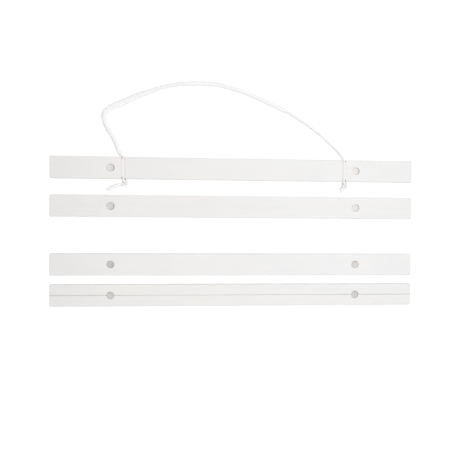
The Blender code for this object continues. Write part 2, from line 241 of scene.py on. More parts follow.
# Paint: creamier towards the left and dimmed by painted shade at the rails' ends, with the wood's
# grain and broader bands showing through it and dull clouds in it
PAINT_COLOUR = (0.838, 0.837, 0.835)
PAINT_CREAM = (0.847, 0.834, 0.819)
PAINT_IN_GRAIN = (0.79, 0.785, 0.775)
PAINT_WARM = (0.855, 0.82, 0.79)
PAINT_DULL = (0.826, 0.82, 0.822)
CREAM_RANGE = (-40 * MM, 75 * MM)
PAINTED_SHADE_END_RANGE = (110 * MM, 165 * MM)
PAINTED_SHADE_END_SHARE = 0.972
GRAIN_SHARES = {"top_rear": 0.45, "top_front": 0.8, "bottom_rear": 0.35, "bottom_front": 1.0}
GRAIN_RANGE = (0.35, 0.7)
GRAIN_MOST = 0.5
GRAIN_BUMP = (0.05 * MM, 0.35)
BAND_RANGE = (0.5, 0.68)
BAND_MOST = 0.7
BAND_BUMP = (0.12 * MM, 0.3)
PAINT_CLOUD_RANGE = (0.4, 0.65)
PAINT_CLOUD_MOST = 0.35
ORANGE_PEEL_BUMP = (0.02 * MM, 0.25)
PAINT_ROUGHNESS = (0.48, 0.6)
ROUGHNESS_RANGE = (0.3, 0.7)

# Painted light on the paint round the holes' rims, most for the first share of its reach, and painted
# light and shade on the rails' long sides: the top rails' lower sides lighter, the bottom rear rail's
# upper side darker
PAINTED_LIGHT_HOLE_RIM_SHARE = 1.07
HOLE_RIM_REACH = 0.5 * MM
HOLE_RIM_FULL = 0.6
PAINTED_LIGHT_LOWER_SIDE_SHARES = {"top_rear": 1.1, "top_front": 1.06}
PAINTED_SHADE_UPPER_SIDE_SHARES = {"bottom_rear": 0.86}
SIDE_DEPTH = 0.4 * MM
SIDE_RANGE = (0.1 * MM, 0.4 * MM)

# Bare wood, below the paint that has run into the magnets' holes and the grooves; its dark brown is
# partly the wood's own colour and partly painted shade in these recesses. In the grooves the paint
# reaches deeper between their mouths than at them, which brings that painted shade up at the mouths
BARE_WOOD_AND_PAINTED_SHADE = (0.42, 0.33, 0.26)
BARE_WOOD_GRAIN = (0.3, 0.22, 0.17)
HOLE_WALL_SLACK = 0.15 * MM
HOLE_PAINT_RANGE = (0.35 * MM, 0.6 * MM)
GROOVE_WALL_SLACK = 0.1 * MM
GROOVE_END_SLACK = 0.02 * MM
GROOVE_MOUTH_REACHES = (2.4 * MM, 1.4 * MM)
GROOVE_PAINT_DEPTHS = (1.5 * MM, 0.3 * MM)
GROOVE_PAINT_SOFTNESS = 0.25 * MM
WOOD_ABOVE_BACK = 0.7 * MM

# Scored lines: their cuts' depths, which are also half their widths; the colours painted in them, a
# painted highlight in the top front rail's line and painted shade in the bottom front rail's; where
# these set in and end in shares of the depth, and how they fade towards the rail's middle
SCORE_DEPTHS = {"top_front": 0.16 * MM, "bottom_front": 0.27 * MM}
SCORE_PAINTED_LIGHT_AND_SHADE = {"top_front": (0.9, 0.88, 0.82), "bottom_front": (0.38, 0.355, 0.32)}
SCORE_LIGHT_AND_SHADE_SHARES = {"top_front": 0.8, "bottom_front": 0.9}
LINE_HALF_WIDTH = 1.02
LINE_START = 0.1
LINE_FULL = 0.8
LINE_END = 1.2
LINE_FADE_RANGE = (40 * MM, 160 * MM)
LINE_FADE_SHARES = (0.6, 1.0)

# Disc magnets, which fill their holes: their size, and the outline of the dished face as shares of its
# flat part's radius and of the dish's depth
HOLE_RADIUS = 3.3 * MM
DISC_RADIUS = 3.26 * MM
DISC_ROUNDING = 0.15 * MM
DISC_ROUNDING_STEPS = 5
DISC_DISH = 0.015 * MM
DISC_DISH_OUTLINE = [(0.0, 1.0), (0.55, 0.7), (0.9, 0.1)]
DISC_SEGMENTS = 72

# Nickel, with each disc's own tone, which also stands in for how brightly it reflects; the heading,
# in degrees from +X, towards which its painted shade and the painted shadow crescent at its rim lie;
# and how dark these are. The crescent is what lies outside a round that is shifted away from it
NICKEL_COLOUR = (0.353, 0.337, 0.327)
DISC_TONES_AND_PAINTED_SHADE = {
    "top_rear_magnet_left": (1.14, 0, 0.85),
    "top_rear_magnet_right": (1.19, 10, 0.65),
    "top_front_magnet_left": (1.04, -15, 0.9),
    "top_front_magnet_right": (1.11, 20, 0.15),
    "bottom_rear_magnet_left": (0.84, -45, 0.5),
    "bottom_rear_magnet_right": (1.0, 100, 0.5),
    "bottom_front_magnet_left": (0.9, 110, 0.3),
    "bottom_front_magnet_right": (0.92, 60, 0.35),
}
DULL_SHARE = 0.9
PIT_RANGE = (0.45, 0.75)
PIT_MOST = 0.8
PIT_BUMP = (0.01 * MM, 0.35)
TARNISH_RANGE = (0.35, 0.65)
TARNISH_MOST = 0.6
PAINTED_SHADE_SIDE_SHARE = 0.75
PAINTED_SHADE_SIDE_MOST = 0.8
PAINTED_SHADOW_CRESCENT_SHARE = 0.25
PAINTED_SHADOW_CRESCENT_SHIFT = 0.3
PAINTED_SHADOW_CRESCENT_RANGE = (1.08, 1.22)
SCRATCH_BUMP = (0.006 * MM, 0.3)
NICKEL_ROUGHNESS = (0.26, 0.4)

# Cotton, with painted shade in the valleys between its strands and in the grooves, and its fibres
COTTON_COLOUR = (0.955, 0.955, 0.95)
COTTON_SHADE = (0.85, 0.85, 0.855)
COTTON_FUZZ = (0.9, 0.9, 0.89)
COTTON_PAINTED_SHADE_IN_GROOVE = (0.915, 0.88, 0.872)
VALLEY_RANGE = (0.2, 0.75)
VALLEY_MOST = 0.4
FIBRE_RANGE = (0.35, 0.7)
FIBRE_MOST = 0.25
FIBRE_BUMP = (0.03 * MM, 0.5)
COTTON_ROUGHNESS = 0.92
COTTON_SHEEN = 0.3
COTTON_SHEEN_ROUGHNESS = 0.5

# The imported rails' smooth shading: what is welded, and the least angle of a real edge
WELD_DISTANCE = 0.001 * MM
EDGE_ANGLE = math.radians(35)

# The Mix node's factor and colour sockets by number, because it has several of each name
MIX_FACTOR = 0
MIX_FIRST = 6
MIX_SECOND = 7
MIX_RESULT = 2

top_rail_low, top_rail_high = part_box("top_rear_rail")
UPPER_EDGE_Y = top_rail_high.y
LOWER_EDGE_Y = top_rail_low.y
TOP_REAR_Y = (UPPER_EDGE_Y + LOWER_EDGE_Y) / 2


def put_in_scene(name, data):
    """A new object with that data, in the scene."""
    made = bpy.data.objects.new(name, data)
    bpy.context.scene.collection.objects.link(made)
    return made


def make_camera():
    data = bpy.data.cameras.new("camera")
    data.lens = CAMERA_LENS
    data.sensor_width = CAMERA_SENSOR
    camera = put_in_scene("camera", data)
    back = -Vector(CAMERA_LOOK).normalized()
    right = Vector(CAMERA_UP).cross(back).normalized()
    up = back.cross(right)
    turn = Matrix((right, up, back)).transposed()
    camera.matrix_world = Matrix.Translation(CAMERA_PLACE) @ turn.to_4x4()
    bpy.context.scene.camera = camera


def add_lamp(name, place, size, watts):
    data = bpy.data.lights.new(name, "AREA")
    data.size = size
    data.energy = watts
    lamp = put_in_scene(name, data)
    lamp.location = place
    lamp.rotation_mode = "QUATERNION"
    lamp.rotation_quaternion = (Vector(LIGHT_AIM) - Vector(place)).to_track_quat("-Z", "Y")


def emptied_tree(owner):
    """The node tree of a world or material, without the nodes that it comes with."""
    owner.use_nodes = True
    owner.node_tree.nodes.clear()
    return owner.node_tree


def grey(level):
    return (level, level, level, 1.0)


def background(tree, strength):
    """Even white light."""
    node = tree.nodes.new("ShaderNodeBackground")
    node.inputs["Color"].default_value = grey(1.0)
    node.inputs["Strength"].default_value = strength
    return node.outputs[0]


def diffuse(tree, level):
    """A dull grey surface."""
    node = tree.nodes.new("ShaderNodeBsdfDiffuse")
    node.inputs["Color"].default_value = grey(level)
    return node.outputs[0]


def seen_directly(tree):
    """1 for rays from the camera and those mirrored or bent on the way, 0 for light that spreads."""
    path = tree.nodes.new("ShaderNodeLightPath").outputs
    unbent = calculate(tree, "MAXIMUM", path["Is Camera Ray"], path["Is Glossy Ray"])
    return calculate(tree, "MAXIMUM", unbent, path["Is Transmission Ray"])


def surface_by_ray(tree, for_spread_light, for_direct_sight, out):
    """Joins to the output one shader for light that spreads and another for direct sight."""
    mix = tree.nodes.new("ShaderNodeMixShader")
    tree.links.new(seen_directly(tree), mix.inputs[0])
    tree.links.new(for_spread_light, mix.inputs[1])
    tree.links.new(for_direct_sight, mix.inputs[2])
    tree.links.new(mix.outputs[0], out.inputs["Surface"])


def make_world():
    world = bpy.data.worlds.new("studio")
    tree = emptied_tree(world)
    light = background(tree, WORLD_LIGHT)
    white = background(tree, WORLD_SEEN)
    surface_by_ray(tree, light, white, tree.nodes.new("ShaderNodeOutputWorld"))
    bpy.context.scene.world = world


def floor_material():
    material = bpy.data.materials.new("white_floor")
    tree = emptied_tree(material)
    plain = diffuse(tree, FLOOR_ALBEDO)
    lit = diffuse(tree, FLOOR_LIT_SHARE)
    own = tree.nodes.new("ShaderNodeEmission")
    own.inputs["Strength"].default_value = FLOOR_OWN_WHITE
    both = tree.nodes.new("ShaderNodeAddShader")
    tree.links.new(lit, both.inputs[0])
    tree.links.new(own.outputs[0], both.inputs[1])
    surface_by_ray(tree, plain, both.outputs[0], tree.nodes.new("ShaderNodeOutputMaterial"))
    return material


def make_floor():
    half = FLOOR_SIZE / 2
    mesh = bpy.data.meshes.new("floor")
    corners = [(-half, -half, 0), (half, -half, 0), (half, half, 0), (-half, half, 0)]
    mesh.from_pydata(corners, [], [(0, 1, 2, 3)])
    mesh.materials.append(floor_material())
    floor = put_in_scene("floor", mesh)
    floor.location.z = -FLOOR_DROP


def passed_at(time, near, near_time, far, far_time):
    """Where a point is that moves evenly from near to far and passes them at their times."""
    span = far_time - near_time
    return near * ((far_time - time) / span) + far * ((time - near_time) / span)


def smooth_route(route):
    """Closely spaced points on a smooth curve that passes through every point of the route."""
    points = [Vector(p) for p in route]
    before = points[0] * 2 - points[1]
    beyond = points[-1] * 2 - points[-2]
    stops = [before] + points + [beyond]
    fine = []
    for i in range(1, len(stops) - 2):
        p0, p1, p2, p3 = stops[i - 1 : i + 3]
        t1 = math.sqrt((p1 - p0).length)
        t2 = t1 + math.sqrt((p2 - p1).length)
        t3 = t2 + math.sqrt((p3 - p2).length)
        steps = max(ROUTE_FEWEST_STEPS, round((p2 - p1).length / TUBE_STEP))
        for k in range(steps):
            t = t1 + (t2 - t1) * k / steps
            a1 = passed_at(t, p0, 0.0, p1, t1)
            a2 = passed_at(t, p1, t1, p2, t2)
            a3 = passed_at(t, p2, t2, p3, t3)
            b1 = passed_at(t, a1, 0.0, a2, t2)
            b2 = passed_at(t, a2, t1, a3, t3)
            fine.append(passed_at(t, b1, t1, b2, t2))
    fine.append(points[-1])
    return evenly(fine)


def lengths_along(points):
    """The length of the way from the first point to each point."""
    run = [0.0]
    for near, far in zip(points, points[1:]):
        run.append(run[-1] + (far - near).length)
    return run


def evenly(points):
    """The line of points again, with points about TUBE_STEP apart."""
    run = lengths_along(points)
    count = round(run[-1] / TUBE_STEP) + 1
    made = []
    i = 0
    for k in range(count):
        wanted = run[-1] * k / (count - 1)
        while i < len(run) - 2 and run[i + 1] < wanted:
            i += 1
        share = (wanted - run[i]) / (run[i + 1] - run[i])
        made.append(points[i].lerp(points[i + 1], share))
    return made


def ease(value, start, end):
    """0 before start, 1 after end, and a smooth step between them."""
    t = min(1.0, max(0.0, (value - start) / (end - start)))
    return t * t * (3 - 2 * t)


def directions(points):
    """The line's direction at each point."""
    made = []
    for i in range(len(points)):
        near = points[max(0, i - 1)]
        far = points[min(len(points) - 1, i + 1)]
        made.append((far - near).normalized())
    return made


def side_directions(ways):
    """At each point a direction square to the line, carried along it without twist."""
    side = ways[0].orthogonal().normalized()
    made = [side]
    for before, after in zip(ways, ways[1:]):
        side = before.rotation_difference(after) @ side
        side = (side - after * side.dot(after)).normalized()
        made.append(side)
    return made


def braid_height(around, along):
    """How far a braid of two crossing sets of strands stands out, from 0 in its valleys to 1."""
    one = BRAID_STRANDS * (around / math.tau + along / BRAID_LEAD)
    other = BRAID_STRANDS * (around / math.tau - along / BRAID_LEAD)
    i, j = round(one), round(other)
    crown_one = math.cos(math.pi * (one - i))
    crown_other = math.cos(math.pi * (other - j))
    over_one = math.cos(math.pi * (other - i))
    over_other = -math.cos(math.pi * (one - j))
    return max(
        BRAID_RELIEF * math.sqrt(max(0.0, crown_one)) + BRAID_WEAVE * over_one,
        BRAID_RELIEF * math.sqrt(max(0.0, crown_other)) + BRAID_WEAVE * over_other,
    ) / (BRAID_RELIEF + BRAID_WEAVE)


def groove_filling(centre, radius):
    """How far the cord is pressed against its groove's walls at this place, from 0 to 1."""
    if not LOWER_EDGE_Y < centre.y < UPPER_EDGE_Y:
        return 0.0
    most = GROOVE_FILL_RADIUS - CORD_IN_GROOVE_RADIUS
    return min(1.0, (radius - CORD_IN_GROOVE_RADIUS) / most)


def pressed(out, filling, groove_side):
    """A direction out of the cord, bent so that a cord pressed into its groove fills its corners.

    It lies against the groove's wall on the side of the rail's end, and less so on the other side.
    """
    across = math.hypot(out.x, out.y)
    if out.z <= 0.0 or across == 0.0:
        return out
    corner = LEFT_INNER_CORNER_FILLING if groove_side < 0.0 else RIGHT_INNER_CORNER_FILLING
    if out.x * groove_side > 0.0:
        corner = OUTER_CORNER_FILLING
    power = 1.0 - corner * filling
    widened = across**power / across
    return Vector((out.x * widened, out.y * widened, out.z**power))


def spread_at(along):
    """How much wider than its diameter the cord lies at a distance along it."""
    for (near, narrow), (far, wide) in zip(CORD_SPREADS, CORD_SPREADS[1:]):
        if along <= far * MM:
            return narrow + (wide - narrow) * ease(along, near * MM, far * MM)
    return 1.0


def thinning(spread):
    """How much thinner than its diameter the cord is where it has spread."""
    return min(1.0, 1.0 / math.sqrt(spread))


def add_ring(corners, heights, centre, side, way, radius, along, spread):
    """Adds the ring of corners round one point of a braided tube, and the braid's height at each."""
    other = way.cross(side)
    filling = groove_filling(centre, radius)
    for k in range(TUBE_SIDES):
        around = math.tau * k / TUBE_SIDES
        height = braid_height(around, along)
        out = side * math.cos(around) + other * math.sin(around)
        relief = BRAID_RELIEF + BRAID_WEAVE
        if filling > 0.0:
            out = pressed(out, filling, centre.x)
            at_wall = abs(out.x) ** AT_WALL_POWER
            relief *= 1.0 - (1.0 - PRESSED_RELIEF_SHARE) * filling * at_wall
        out = Vector((out.x * spread, out.y * spread, out.z * thinning(spread)))
        place = centre + out * (radius + relief * (height - 1.0))
        place.z = max(place.z, CORD_OFF_SURFACE)
        corners.append(place)
        heights.append(height)


def tube_faces(first, rings, sides):
    """The faces of a closed tube whose corners follow each other ring by ring from the first."""
    faces = []
    for ring in range(rings - 1):
        start = first + ring * sides
        for k in range(sides):
            nxt = (k + 1) % sides
            faces.append((start + k, start + nxt, start + sides + nxt, start + sides + k))
    last = first + (rings - 1) * sides
    faces.append(tuple(reversed(range(first, first + sides))))
    faces.append(tuple(range(last, last + sides)))
    return faces


def relief_piece(name, corners, faces, heights):
    """A piece of those corners and faces that keeps the relief's heights for its finish."""
    mesh = bpy.data.meshes.new(name)
    mesh.from_pydata(corners, [], faces)
    relief = mesh.attributes.new("relief", "FLOAT", "POINT")
    relief.data.foreach_set("value", heights)
    mesh.shade_smooth()
    return put_in_scene(name, mesh)


def braided_tube(name, points, radii, spreads=None):
    """A closed tube along the points with the braid's relief."""
    ways = directions(points)
    sides = side_directions(ways)
    run = lengths_along(points)
    if spreads is None:
        spreads = [1.0] * len(points)
    corners, heights = [], []
    for centre, side, way, radius, along, spread in zip(points, sides, ways, radii, run, spreads):
        add_ring(corners, heights, centre, side, way, radius, along, spread)
    return relief_piece(name, corners, tube_faces(0, len(points), TUBE_SIDES), heights)


def loop_route():
    """The whole free cord: up the left groove, round the loop and down the right groove."""
    stops = [
        LOWER_EDGE_Y,
        TOP_REAR_Y,
        UPPER_EDGE_Y - CORD_DIAMETER,
        UPPER_EDGE_Y - CORD_SINK,
    ]
    left = [(-GROOVE_X, y, CORD_IN_GROOVE_Z) for y in stops]
    right = [(GROOVE_X, y, CORD_IN_GROOVE_Z) for y in reversed(stops)]
    loop = [(x * MM, UPPER_EDGE_Y + y * MM, z * MM) for x, y, z in LOOP_ROUTE]
    return left + loop + right


def cord_radii(points):
    """The cord's radius at each point: it fills its grooves but for their mouths and is full beyond."""
    run = lengths_along(points)
    radii = []
    for along in run:
        from_end = min(along, run[-1] - along)
        beyond_mouth = from_end - (UPPER_EDGE_Y - LOWER_EDGE_Y)
        swollen = ease(beyond_mouth, 0.0, CORD_SWELL_LENGTH)
        filling = ease(min(from_end, -beyond_mouth), MOUTH_LENGTH / 2, MOUTH_LENGTH)
        radius = CORD_IN_GROOVE_RADIUS + (CORD_RADIUS - CORD_IN_GROOVE_RADIUS) * swollen
        radii.append(radius + (GROOVE_FILL_RADIUS - CORD_IN_GROOVE_RADIUS) * filling)
    return radii


def knot_turns(groove_x):
    """The knot's turns: a trefoil, open at one lobe, where the cord comes in over and leaves under."""
    pitch = KNOT_CORD_DIAMETER + KNOT_TURN_GAP
    ring = KNOT_RING_SHARE * pitch
    swing = KNOT_SWING_SHARE * pitch
    rise = KNOT_RISE_SHARE * pitch
    turns = []
    for k in range(KNOT_STEPS):
        turn = KNOT_ENTRY + (math.tau - KNOT_ENTRY - KNOT_EXIT) * k / (KNOT_STEPS - 1)
        radius = ring + swing * math.cos(KNOT_LOBES * turn)
        heading = math.pi - KNOT_ROUNDS * turn
        flat = Vector((radius * math.cos(heading), radius * math.sin(heading), 0.0))
        turns.append(flat + Vector((0.0, 0.0, rise * math.sin(KNOT_LOBES * turn))))
    highest = max(place.y for place in turns) + KNOT_CORD_DIAMETER / 2
    centre_x = groove_x + KNOT_OFFSET_SHARE * pitch
    centre_y = LOWER_EDGE_Y - KNOT_SEAT_GAP - highest
    centre = Vector((centre_x, centre_y, CORD_IN_GROOVE_Z - rise))
    return [centre + place for place in turns]


def below_groove(groove_x, route):
    """A route's points in the row's frame, from millimetres about a groove's lower mouth."""
    return [Vector((groove_x + x * MM, LOWER_EDGE_Y + y * MM, z * MM)) for x, y, z in route]


def strand_corners(foot, lean, length, side, other):
    """A loose strand's corners, ring by ring from its foot: it tapers and sags on the way."""
    corners = []
    for ring in range(FRAY_RINGS):
        share = ring / (FRAY_RINGS - 1)
        sag = Vector((0, 0, -FRAY_SAG * length * share * share))
        centre = foot + lean * (length * share) + sag
        radius = FRAY_RADIUS * (1.0 - FRAY_TAPER * share)
        for s in range(FRAY_SIDES):
            angle = math.tau * s / FRAY_SIDES
            place = centre + (side * math.cos(angle) + other * math.sin(angle)) * radius
            place.z = max(place.z, CORD_OFF_SURFACE)
            corners.append(place)
    return corners


def fray(piece, tip, way, seed):
    """A few short loose strands at a tail's cut end, as a piece of their own."""
    draw = random.Random(seed)
    side = way.orthogonal().normalized()
    other = way.cross(side)
    corners, faces = [], []
    for k in range(FRAY_STRANDS):
        turn = math.tau * k * FRAY_TURN_SHARE
        spread = CORD_RADIUS * FRAY_SPREAD_SHARE * math.sqrt((k + 0.5) / FRAY_STRANDS)
        out = side * math.cos(turn) + other * math.sin(turn)
        lean = out * draw.uniform(*FRAY_LEANS) + way
        length = FRAY_LENGTH * draw.uniform(*FRAY_LENGTH_SHARES)
        foot = tip + out * spread - way * FRAY_RADIUS
        faces += tube_faces(len(corners), FRAY_RINGS, FRAY_SIDES)
        corners += strand_corners(foot, lean, length, side, other)
    return relief_piece(piece.name + "_fray", corners, faces, [FRAY_RELIEF] * len(corners))


def make_cord(finish):
    """The hanging cord in its grooves and its loop, and the points that it follows."""
    points = smooth_route(loop_route())
    radii = cord_radii(points)
    run = lengths_along(points)
    spreads = [spread_at(along) for along in run]
    for point, radius, along, spread in zip(points, radii, run, spreads):
        lying = radius * thinning(spread) + CORD_OFF_SURFACE
        landed = ease(along, *CORD_LANDING) * ease(run[-1] - along, *CORD_LANDING)
        point.z = lying + max(0.0, point.z - lying) * (1.0 - landed)
    cord = braided_tube("braided_hanging_cord", points, radii, spreads)
    cord.data.materials.append(finish)
    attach(cord, "top_rear")
    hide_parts("hanging_cord")
    return cord, points


def make_knot(name, node, groove_x, tail_route, finish, seed):
    """A knot with its tail, and the frayed tip of that, in the place of the knot's CAD node."""
    start = Vector((groove_x, LOWER_EDGE_Y, CORD_IN_GROOVE_Z))
    lead = [start] + below_groove(groove_x, KNOT_LEAD_ROUTE)
    tail = below_groove(groove_x, tail_route)
    points = smooth_route(lead + knot_turns(groove_x) + tail)
    run = lengths_along(points)
    tail_start = run[-1] - lengths_along(tail)[-1]
    radii = []
    for along in run:
        entering = 1 - ease(along, 0.0, KNOT_SQUEEZE_LENGTH)
        leaving = ease(along, tail_start, tail_start + KNOT_TAIL_SWELL_LENGTH)
        radius = KNOT_FULL_RADIUS + (CORD_IN_GROOVE_RADIUS - KNOT_FULL_RADIUS) * entering
        radii.append(radius + (CORD_RADIUS - KNOT_FULL_RADIUS) * leaving)
    knot = braided_tube(name, points, radii)
    tip = fray(knot, points[-1], directions(points)[-1], seed)
    for piece in (knot, tip):
        piece.data.materials.append(finish)
        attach(piece, "top_rear")
    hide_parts(node)
    return [knot, tip]


def make_cords(finish):
    cord, points = make_cord(finish)
    left = make_knot(
        "left_overhand_knot", "left_knot", -GROOVE_X, LEFT_TAIL_ROUTE, finish, LEFT_FRAY_SEED
    )
    right = make_knot(
        "right_overhand_knot", "right_knot", GROOVE_X, RIGHT_TAIL_ROUTE, finish, RIGHT_FRAY_SEED
    )


def new_material(name):
    """A material, its node tree and its shader."""
    material = bpy.data.materials.new(name)
    material.use_nodes = True
    tree = material.node_tree
    return material, tree, tree.nodes["Principled BSDF"]


def calculate(tree, operation, *values):
    """A Math node on sockets or numbers, as the socket of its result."""
    node = tree.nodes.new("ShaderNodeMath")
    node.operation = operation
    for socket, value in zip(node.inputs, values):
        if isinstance(value, (int, float)):
            socket.default_value = value
        else:
            tree.links.new(value, socket)
    return node.outputs[0]


def length_of(tree, across, up):
    """The length of a step that goes so far across and so far up."""
    squares = [calculate(tree, "MULTIPLY", part, part) for part in (across, up)]
    return calculate(tree, "SQRT", calculate(tree, "ADD", *squares))


def away_from(tree, value, middle):
    """How far the value is from the middle, to either side."""
    return calculate(tree, "ABSOLUTE", calculate(tree, "SUBTRACT", value, middle))


def ramp(tree, value, low, high, start=0.0, end=1.0):
    """The value mapped smoothly from low..high to start..end, and held there outside."""
    node = tree.nodes.new("ShaderNodeMapRange")
    node.interpolation_type = "SMOOTHSTEP"
    limits = {"From Min": low, "From Max": high, "To Min": start, "To Max": end}
    for name, number in limits.items():
        node.inputs[name].default_value = number
    tree.links.new(value, node.inputs["Value"])
    return node.outputs["Result"]


def noise_at(tree, places, stretch, detail):
    """Noise over the places, stretched: one number along each axis, in waves a metre."""
    scale = tree.nodes.new("ShaderNodeVectorMath")
    scale.operation = "MULTIPLY"
    scale.inputs[1].default_value = stretch
    tree.links.new(places, scale.inputs[0])
    noise = tree.nodes.new("ShaderNodeTexNoise")
    noise.inputs["Scale"].default_value = 1.0
    noise.inputs["Detail"].default_value = detail
    tree.links.new(scale.outputs[0], noise.inputs["Vector"])
    return noise.outputs["Fac"]


def blend_colour(tree, factor, first, second):
    """A mix of two colours, each a socket or three numbers."""
    node = tree.nodes.new("ShaderNodeMix")
    node.data_type = "RGBA"
    tree.links.new(factor, node.inputs[MIX_FACTOR])
    for slot, colour in ((MIX_FIRST, first), (MIX_SECOND, second)):
        if isinstance(colour, tuple):
            node.inputs[slot].default_value = (*colour, 1.0)
        else:
            tree.links.new(colour, node.inputs[slot])
    return node.outputs[MIX_RESULT]


def toned(colour, share):
    """A colour of three numbers, times share."""
    return tuple(part * share for part in colour)


def toned_where(tree, mask, colour, share):
    """A colour's socket, times share where the mask is 1."""
    node = tree.nodes.new("ShaderNodeVectorMath")
    node.operation = "SCALE"
    tree.links.new(colour, node.inputs[0])
    tree.links.new(ramp(tree, mask, 0.0, 1.0, 1.0, share), node.inputs["Scale"])
    return node.outputs[0]


def row_places(tree):
    """The surface's place in the row's frame, which rides with the piece."""
    return tree.nodes.new("ShaderNodeTexCoord").outputs["Object"]


def split(tree, vector):
    """The X, Y and Z of a vector."""
    node = tree.nodes.new("ShaderNodeSeparateXYZ")
    tree.links.new(vector, node.inputs[0])
    return node.outputs


def add_bump(tree, shader, layers):
    """Bumps on bumps: each layer is (height socket, distance, strength)."""
    before = None
    for height, distance, strength in layers:
        bump = tree.nodes.new("ShaderNodeBump")
        bump.inputs["Distance"].default_value = distance
        bump.inputs["Strength"].default_value = strength
        tree.links.new(height, bump.inputs["Height"])
        if before is not None:
            tree.links.new(before, bump.inputs["Normal"])
        before = bump.outputs["Normal"]
    tree.links.new(before, shader.inputs["Normal"])


def hole_distance(tree, label, x, y):
    """How far the surface is from the middle line of the rail's nearer magnet hole."""
    distances = []
    for side in ("left", "right"):
        disc_low, disc_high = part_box(label + "_magnet_" + side)
        middle = (disc_low + disc_high) / 2
        across = calculate(tree, "SUBTRACT", x, middle.x)
        up = calculate(tree, "SUBTRACT", y, middle.y)
        distances.append(length_of(tree, across, up))
    return calculate(tree, "MINIMUM", *distances)


def hole_mask(tree, label, x, y, depth):
    """1 on the bare walls of a rail's magnet holes, 0 on its paint."""
    away = hole_distance(tree, label, x, y)
    inside = calculate(tree, "LESS_THAN", away, HOLE_RADIUS + HOLE_WALL_SLACK)
    return calculate(tree, "MULTIPLY", ramp(tree, depth, *HOLE_PAINT_RANGE), inside)


def groove_mask(tree, x, y, depth):
    """1 on the bare walls of the top rear rail's two grooves, 0 on its paint."""
    across = away_from(tree, calculate(tree, "ABSOLUTE", x), GROOVE_X)
    groove_reach = GROOVE_RADIUS + GROOVE_FLARE + GROOVE_WALL_SLACK
    near = calculate(tree, "LESS_THAN", across, groove_reach)
    half_width = (UPPER_EDGE_Y - LOWER_EDGE_Y) / 2
    up = away_from(tree, y, TOP_REAR_Y)
    short_of_edge = calculate(tree, "LESS_THAN", up, half_width - GROOVE_END_SLACK)
    mouth_range = [half_width - reach for reach in GROOVE_MOUTH_REACHES]
    paint_depth = ramp(tree, up, *mouth_range, *GROOVE_PAINT_DEPTHS)
    below_paint = calculate(tree, "SUBTRACT", depth, paint_depth)
    bare = ramp(tree, below_paint, 0.0, GROOVE_PAINT_SOFTNESS)
    return calculate(tree, "MULTIPLY", calculate(tree, "MULTIPLY", near, short_of_edge), bare)


def cut_mask(tree, label, x, y, z):
    """1 on the bare walls of a rail's magnet holes and grooves, 0 on its paint."""
    face_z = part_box(label + "_rail")[1].z
    depth = calculate(tree, "SUBTRACT", face_z, z)
    mask = hole_mask(tree, label, x, y, depth)
    if label == "top_rear":
        mask = calculate(tree, "MAXIMUM", mask, groove_mask(tree, x, y, depth))
    above_back = calculate(tree, "GREATER_THAN", z, WOOD_ABOVE_BACK)
    return calculate(tree, "MULTIPLY", mask, above_back)


def score_light_and_shade_mask(tree, label, x, y, z):
    """How strongly the score's painted light and shade show: most in its bottom, fainter off the ends.
    """
    low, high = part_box(label + "_rail")
    cut = SCORE_DEPTHS[label]
    up = away_from(tree, y, (low.y + high.y) / 2)
    near = calculate(tree, "LESS_THAN", up, cut * LINE_HALF_WIDTH)
    depth = calculate(tree, "SUBTRACT", high.z, z)
    inside = ramp(tree, depth, cut * LINE_START, cut * LINE_FULL)
    within = calculate(tree, "LESS_THAN", depth, cut * LINE_END)
    inside = calculate(tree, "MULTIPLY", inside, within)
    ends = ramp(tree, calculate(tree, "ABSOLUTE", x), *LINE_FADE_RANGE, *LINE_FADE_SHARES)
    share = calculate(tree, "MULTIPLY", ends, SCORE_LIGHT_AND_SHADE_SHARES[label])
    return calculate(tree, "MULTIPLY", calculate(tree, "MULTIPLY", near, inside), share)


def paint_edge_light_and_shade(tree, label, paint, x, y, z):
    """The paint, with painted light on the holes' rims and painted light and shade on its long sides.
    """
    low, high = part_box(label + "_rail")
    depth = calculate(tree, "SUBTRACT", high.z, z)
    away = hole_distance(tree, label, x, y)
    # painted light: the holes' rims, which face away from the lamps, are made lighter
    rim_start = HOLE_RADIUS + HOLE_RIM_REACH * HOLE_RIM_FULL
    rim = ramp(tree, away, rim_start, HOLE_RADIUS + HOLE_RIM_REACH, 1.0, 0.0)
    on_face = calculate(tree, "LESS_THAN", depth, HOLE_RIM_REACH)
    painted_light_rim = calculate(tree, "MULTIPLY", rim, on_face)
    paint = toned_where(tree, painted_light_rim, paint, PAINTED_LIGHT_HOLE_RIM_SHARE)
    above_back = calculate(tree, "GREATER_THAN", z, SIDE_DEPTH)
    on_side = calculate(tree, "MULTIPLY", ramp(tree, depth, *SIDE_RANGE), above_back)
    sides = [
        (PAINTED_LIGHT_LOWER_SIDE_SHARES, "LESS_THAN", low.y + SIDE_DEPTH),
        (PAINTED_SHADE_UPPER_SIDE_SHARES, "GREATER_THAN", high.y - SIDE_DEPTH),
    ]
    # painted light on the top rails' lower sides, painted shade on the bottom rear rail's upper side
    for shares, test, edge in sides:
        if label in shares:
            beyond = calculate(tree, test, y, edge)
            painted_side_light_and_shade = calculate(tree, "MULTIPLY", on_side, beyond)
            paint = toned_where(tree, painted_side_light_and_shade, paint, shares[label])
    return paint


def paint_with_shaded_ends(tree, x):
    """The paint's colour, creamier on the left, with painted shade dimming the rails' ends."""
    cream = ramp(tree, x, *CREAM_RANGE, 1.0, 0.0)
    paint = blend_colour(tree, cream, PAINT_COLOUR, PAINT_CREAM)
    # painted shade: the paint darkens towards both ends of the rail, where the light falls off
    painted_shade_at_end = ramp(tree, calculate(tree, "ABSOLUTE", x), *PAINTED_SHADE_END_RANGE)
    dim_white, dim_cream = (toned(colour, PAINTED_SHADE_END_SHARE) for colour in (PAINT_COLOUR, PAINT_CREAM))
    dim = blend_colour(tree, cream, dim_white, dim_cream)
    return blend_colour(tree, painted_shade_at_end, paint, dim)


